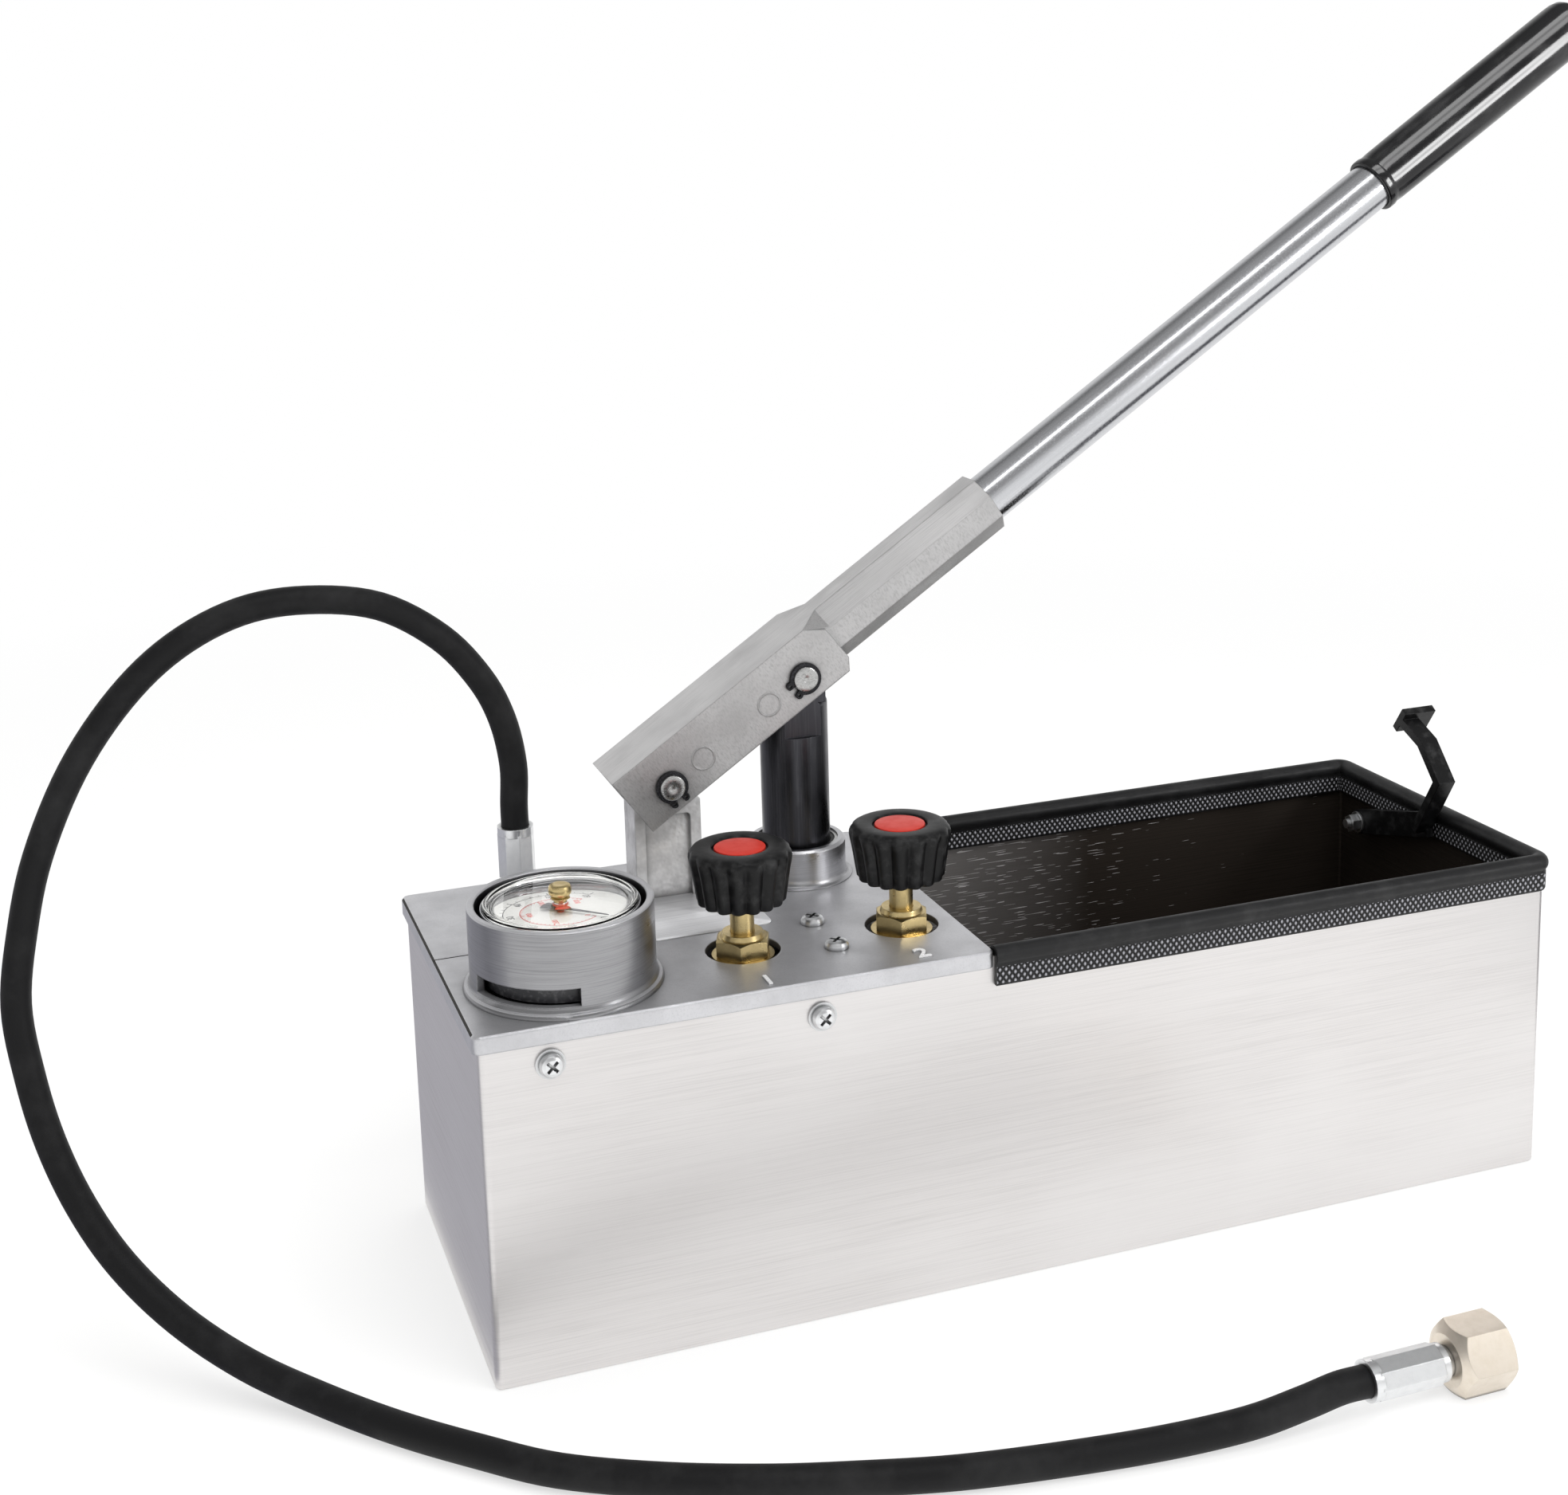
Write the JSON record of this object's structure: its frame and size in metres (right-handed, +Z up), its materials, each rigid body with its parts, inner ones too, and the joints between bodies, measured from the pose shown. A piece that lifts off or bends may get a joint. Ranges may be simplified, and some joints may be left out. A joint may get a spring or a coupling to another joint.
{
  "type": "hydraulic hand pump",
  "caption": "Hand-operated pressure test pump: open sheet tank, cast cover with gauge and valve knobs, long lever on a link and piston, outlet hose with swivel nut, lever hook.",
  "frame": {"origin": "middle of the tank's flat underside, on the surface it stands on", "axes": "+X along the tank towards the lever's grip, -Y towards the side with the gauge and the valves, +Z up"},
  "size_m": [0.7924, 0.3274, 0.5541],
  "materials": {
    "tank_steel": "brushed stainless sheet",
    "dark_rubber": "dark grey edge trim",
    "cast_alloy": "die-cast, satin",
    "zinc_steel": "zinc plated",
    "body_alloy": "cast",
    "turned_steel": "turned",
    "black_rubber": "matte",
    "brass": "machined",
    "strainer_steel": "stamped",
    "white_plastic": "plain",
    "black_plastic": "moulded",
    "red_plastic": "moulded",
    "gauge_metal": "polished",
    "glass": "clear",
    "dial_white": "printed white",
    "pointer_black": "matte",
    "pointer_red": "matte",
    "piston_steel": "blackened and ground",
    "lever_alloy": "die-cast",
    "chrome": "plated tube",
    "grip_black": "smooth sleeve",
    "clip_steel": "phosphated",
    "hose_rubber": "matte",
    "zinc_fitting": "zinc plated",
    "yellow_zinc": "yellow zinc plated"
  },
  "bodies": {
    "frame": {"tank": "tank_steel", "rim_trim": "dark_rubber", "cover": "cast_alloy", "side_screws": "zinc_steel", "side_washers": "zinc_steel", "cover_screws": "zinc_steel", "pump_body": "body_alloy", "guide_bush": "turned_steel", "wiper_ring": "black_rubber", "suction_body": "brass", "strainer": "strainer_steel", "check_plug": "brass", "check_spring": "zinc_steel", "link_base_pin": "turned_steel", "valve_1_bonnet": "brass", "valve_1_gland_nut": "brass", "valve_1_packing": "white_plastic", "valve_2_bonnet": "brass", "valve_2_gland_nut": "brass", "valve_2_packing": "white_plastic", "gauge_case": "gauge_metal", "gauge_stem": "brass", "gauge_bezel": "gauge_metal", "gauge_glass": "glass", "gauge_dial": "dial_white", "hose_nipple": "zinc_fitting", "hose_ferrule": "zinc_fitting", "hose": "hose_rubber", "end_ferrule": "zinc_fitting", "end_nipple": "zinc_fitting", "nut_seal": "black_rubber", "hook_screw": "zinc_steel", "hook_nut": "zinc_steel", "hook_washers": "zinc_steel"},
    "suction_ball": {"suction_ball": "turned_steel"},
    "check_ball": {"check_ball": "turned_steel"},
    "valve_1_tip": {"valve_1_tip": "brass"},
    "valve_1_handle": {"valve_1_spindle": "brass", "valve_1_knob": "black_plastic", "valve_1_cap": "red_plastic"},
    "valve_2_tip": {"valve_2_tip": "brass"},
    "valve_2_handle": {"valve_2_spindle": "brass", "valve_2_knob": "black_plastic", "valve_2_cap": "red_plastic"},
    "pointer": {"gauge_pointer": "pointer_black"},
    "drag_pointer": {"drag_pointer": "pointer_red", "reset_knob": "brass"},
    "piston": {"piston": "piston_steel", "piston_seal": "black_rubber"},
    "lever": {"lever_head": "lever_alloy", "lever_tube": "chrome", "lever_grip": "grip_black", "link_pin": "turned_steel", "piston_pin": "turned_steel", "circlips": "clip_steel"},
    "link": {"link": "lever_alloy"},
    "swivel_nut": {"swivel_nut": "yellow_zinc"},
    "hook": {"hook": "black_plastic"}
  },
  "joints": [
    {"name": "piston_slide", "type": "slide", "parent": "frame", "child": "piston", "axis": [0, 0, 1], "range_m": [-0.0498, 0.0072]},
    {"name": "lever_swing", "type": "hinge", "parent": "piston", "child": "lever", "pos_m": [-0.076, 0.04, 0.25422], "axis": [0, -1, 0], "range_deg": [-38.5, 5.5]},
    {"name": "link_rock", "type": "hinge", "parent": "frame", "child": "link", "pos_m": [-0.14129, 0.04, 0.13], "axis": [0, 1, 0], "range_deg": [-11, 1.6]},
    {"name": "valve_1_lift", "type": "slide", "parent": "frame", "child": "valve_1_tip", "axis": [0, 0, 1], "range_m": [0, 0.00225]},
    {"name": "valve_1_turn", "type": "hinge", "parent": "valve_1_tip", "child": "valve_1_handle", "pos_m": [-0.13, -0.0403, 0.18], "axis": [0, 0, 1], "range_deg": [0, 540]},
    {"name": "valve_2_lift", "type": "slide", "parent": "frame", "child": "valve_2_tip", "axis": [0, 0, 1], "range_m": [0, 0.00225]},
    {"name": "valve_2_turn", "type": "hinge", "parent": "valve_2_tip", "child": "valve_2_handle", "pos_m": [-0.056, -0.0403, 0.18], "axis": [0, 0, 1], "range_deg": [0, 540]},
    {"name": "gauge_pointer", "type": "hinge", "parent": "frame", "child": "pointer", "pos_m": [-0.2095, -0.042, 0.176], "axis": [0, 0, 1], "range_deg": [-270, 0]},
    {"name": "drag_pointer", "type": "hinge", "parent": "frame", "child": "drag_pointer", "pos_m": [-0.2095, -0.042, 0.184], "axis": [0, 0, 1], "range_deg": [-41, 229]},
    {"name": "nut_spin", "type": "hinge", "parent": "frame", "child": "swivel_nut", "pos_m": [0.111, -0.224, 0.0135], "axis": [1, 0, 0], "continuous": true},
    {"name": "hook_swing", "type": "hinge", "parent": "frame", "child": "hook", "pos_m": [0.248, 0.054, 0.1305], "axis": [1, 0, 0], "range_deg": [-24, 20]},
    {"name": "suction_lift", "type": "slide", "parent": "frame", "child": "suction_ball", "axis": [0, 0, 1], "range_m": [0, 0.0025]},
    {"name": "check_lift", "type": "slide", "parent": "frame", "child": "check_ball", "axis": [0, 0, 1], "range_m": [0, 0.002], "stiffness_N_per_m": 200, "springref_m": -0.003, "deforming": ["check_spring"]}
  ],
  "couplings": [
    {"joint": "piston_slide", "follows": "lever_swing", "m_per_rad": 0.074},
    {"joint": "link_rock", "follows": "lever_swing", "ratio": 0.285},
    {"joint": "valve_1_turn", "follows": "valve_1_lift", "rad_per_m": 4188.8},
    {"joint": "valve_2_turn", "follows": "valve_2_lift", "rad_per_m": 4188.8}
  ]
}
